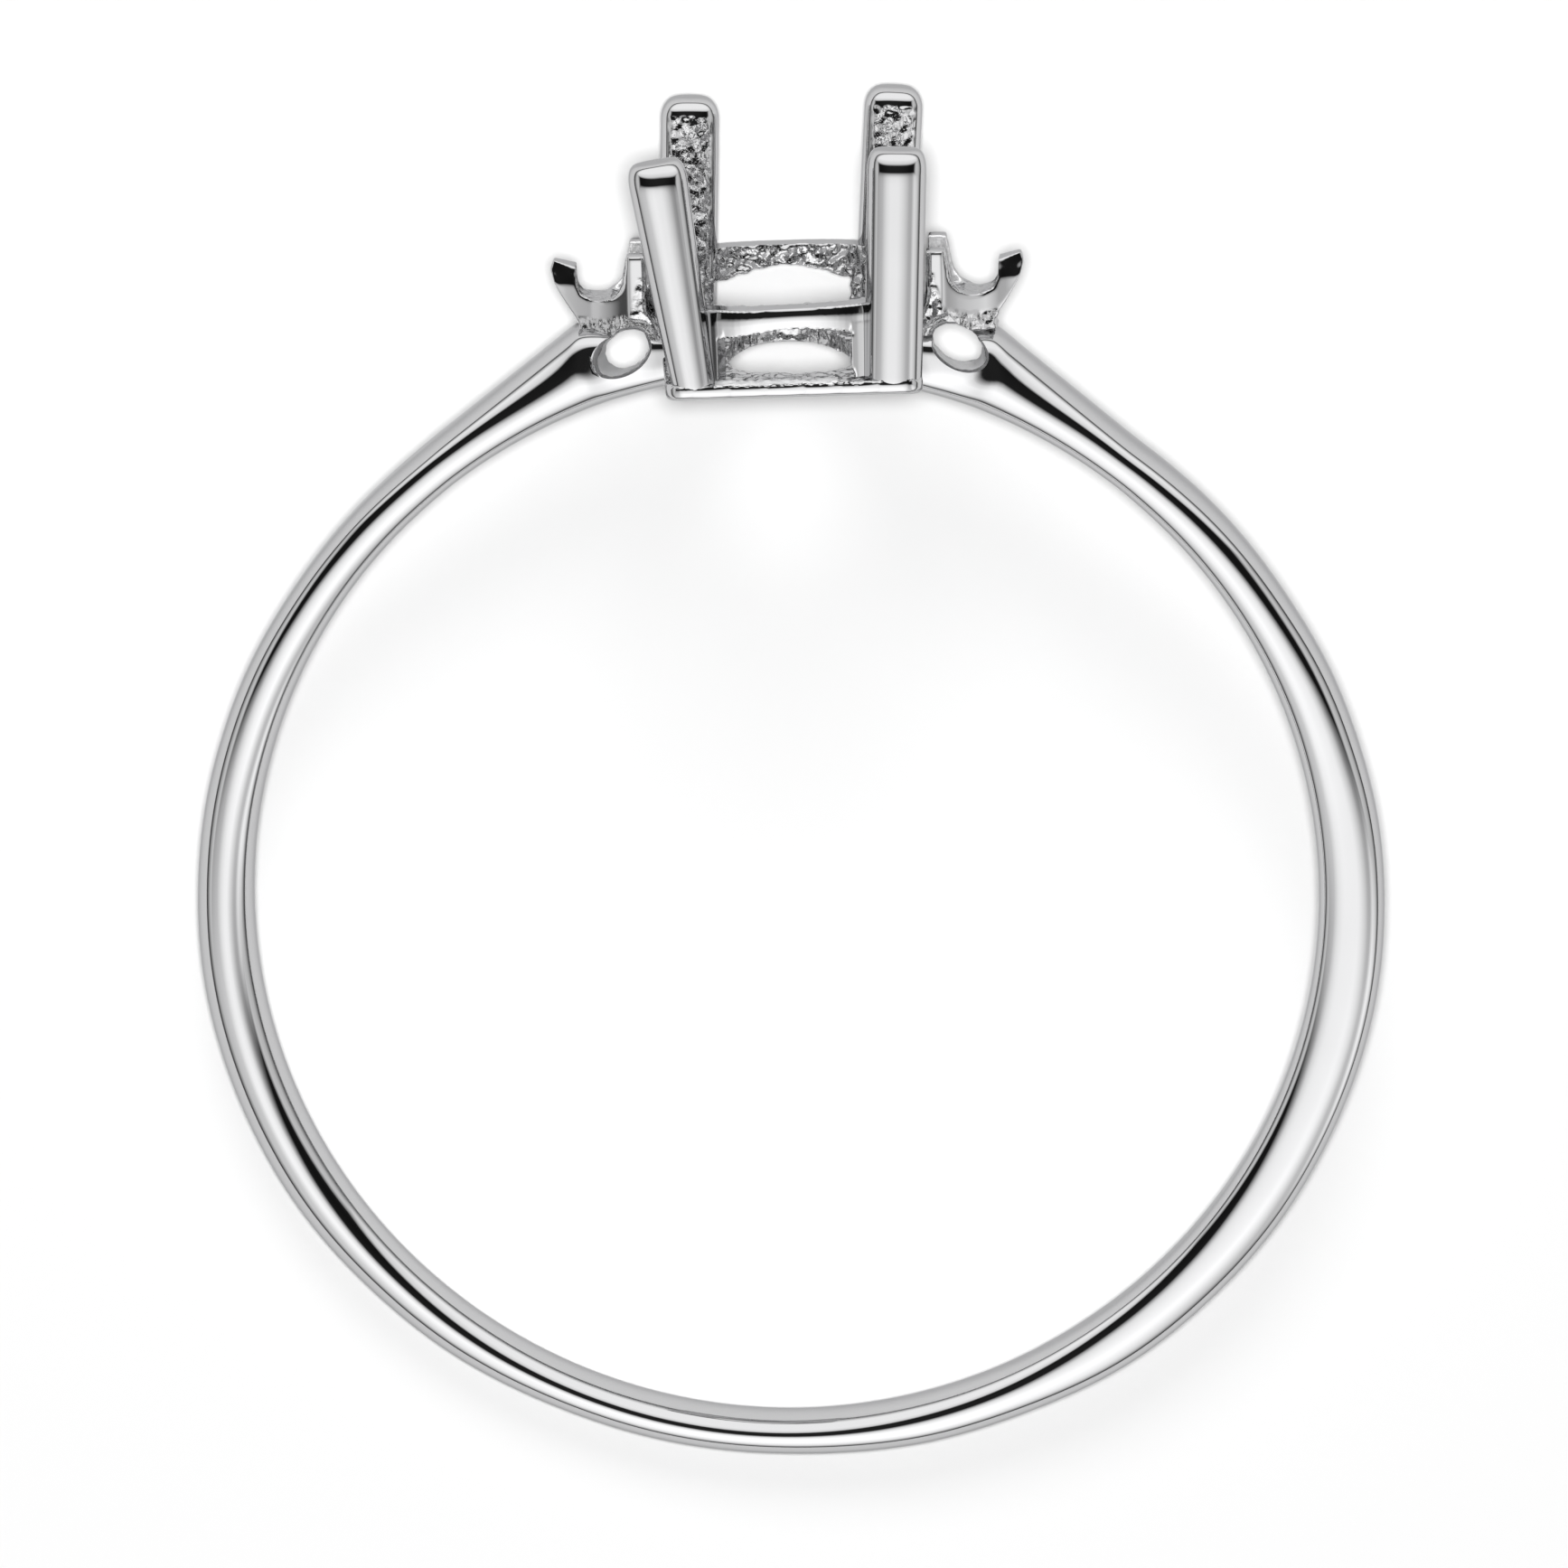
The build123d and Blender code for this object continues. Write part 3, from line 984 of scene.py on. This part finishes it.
def ramp(nodes, stops):
    """Grey ramp from -1 to 1, given as places and brightness."""
    node = nodes.new("ShaderNodeValToRGB")
    line = node.color_ramp.elements
    while len(line) < len(stops):
        line.new(0.5)
    for element, (at, tone) in zip(line, stops):
        element.position = (at + 1) / 2
        element.color = (tone, tone, tone, 1)
    return node


def studio():
    """Surroundings that the polished metal mirrors: a bright table, a dark band, a light roof and walls."""
    world = bpy.data.worlds.new("studio")
    bpy.context.scene.world = world
    world.use_nodes = True
    nodes, links = world.node_tree.nodes, world.node_tree.links
    background = nodes["Background"]
    looking = add(nodes, "ShaderNodeTexCoord").outputs["Generated"]

    def along(direction, stops):
        dot = add(nodes, "ShaderNodeVectorMath", operation="DOT_PRODUCT")
        links.new(looking, dot.inputs[0])
        dot.inputs[1].default_value = direction
        share = add(nodes, "ShaderNodeMapRange", From_Min=-1, From_Max=1)
        links.new(dot.outputs["Value"], share.inputs["Value"])
        tones = ramp(nodes, stops)
        links.new(share.outputs["Result"], tones.inputs["Fac"])
        return tones.outputs["Color"]

    def combine(operation, first, second):
        node = add(nodes, "ShaderNodeVectorMath", operation=operation)
        links.new(first, node.inputs[0])
        links.new(second, node.inputs[1])
        return node.outputs["Vector"]

    turn = LAID.to_3x3()
    across = turn @ Vector((1, 0, 0))
    up = turn @ Vector((0, 0, 1))
    table = combine("MULTIPLY", along(up, TABLE_TONES), along(across, SIDE_TONES))
    table_and_roof = combine("MAXIMUM", table, along(up, ROOF_TONES))
    round_about = combine("MAXIMUM", table_and_roof, along(across, WALL_TONES))
    tones = combine("MULTIPLY", round_about, along(Vector((0, 0, 1)), HORIZON_TONES))
    links.new(tones, background.inputs["Color"])
    strength = add(nodes, "ShaderNodeMapRange", To_Min=MIRRORED_LIGHT, To_Max=SPREAD_LIGHT)
    links.new(add(nodes, "ShaderNodeLightPath").outputs["Is Diffuse Ray"], strength.inputs["Value"])
    links.new(strength.outputs["Result"], background.inputs["Strength"])


def camera():
    """The photograph's camera, laid down with the ring."""
    data = bpy.data.cameras.new("camera")
    data.lens = data.sensor_width * FOCAL_PIXELS / IMAGE_SIDE
    data.clip_start = CAMERA_NEAR
    data.clip_end = CAMERA_FAR
    holder = bpy.data.objects.new("camera", data)
    bpy.context.scene.collection.objects.link(holder)
    turn = rotation(CAMERA_YAW, "Z") @ rotation(90 - CAMERA_PITCH, "X") @ rotation(CAMERA_ROLL, "Z")
    holder.matrix_world = LAID @ Matrix.Translation(Vector(CAMERA_AT) * MM) @ turn
    bpy.context.scene.camera = holder


metal = white_metal()
show(band(), "band", metal)
show(head_base(), "head_base", metal)
show(rail(), "rail", metal)
for number, row in enumerate(PRONGS, 1):
    show(prong(*row), f"prong_{number}", metal)
for name, side in (("left", -1), ("right", 1)):
    show(side_setting(side), f"side_setting_{name}", metal)
floor()
lights()
studio()
camera()
bpy.context.scene.view_settings.view_transform = "Standard"
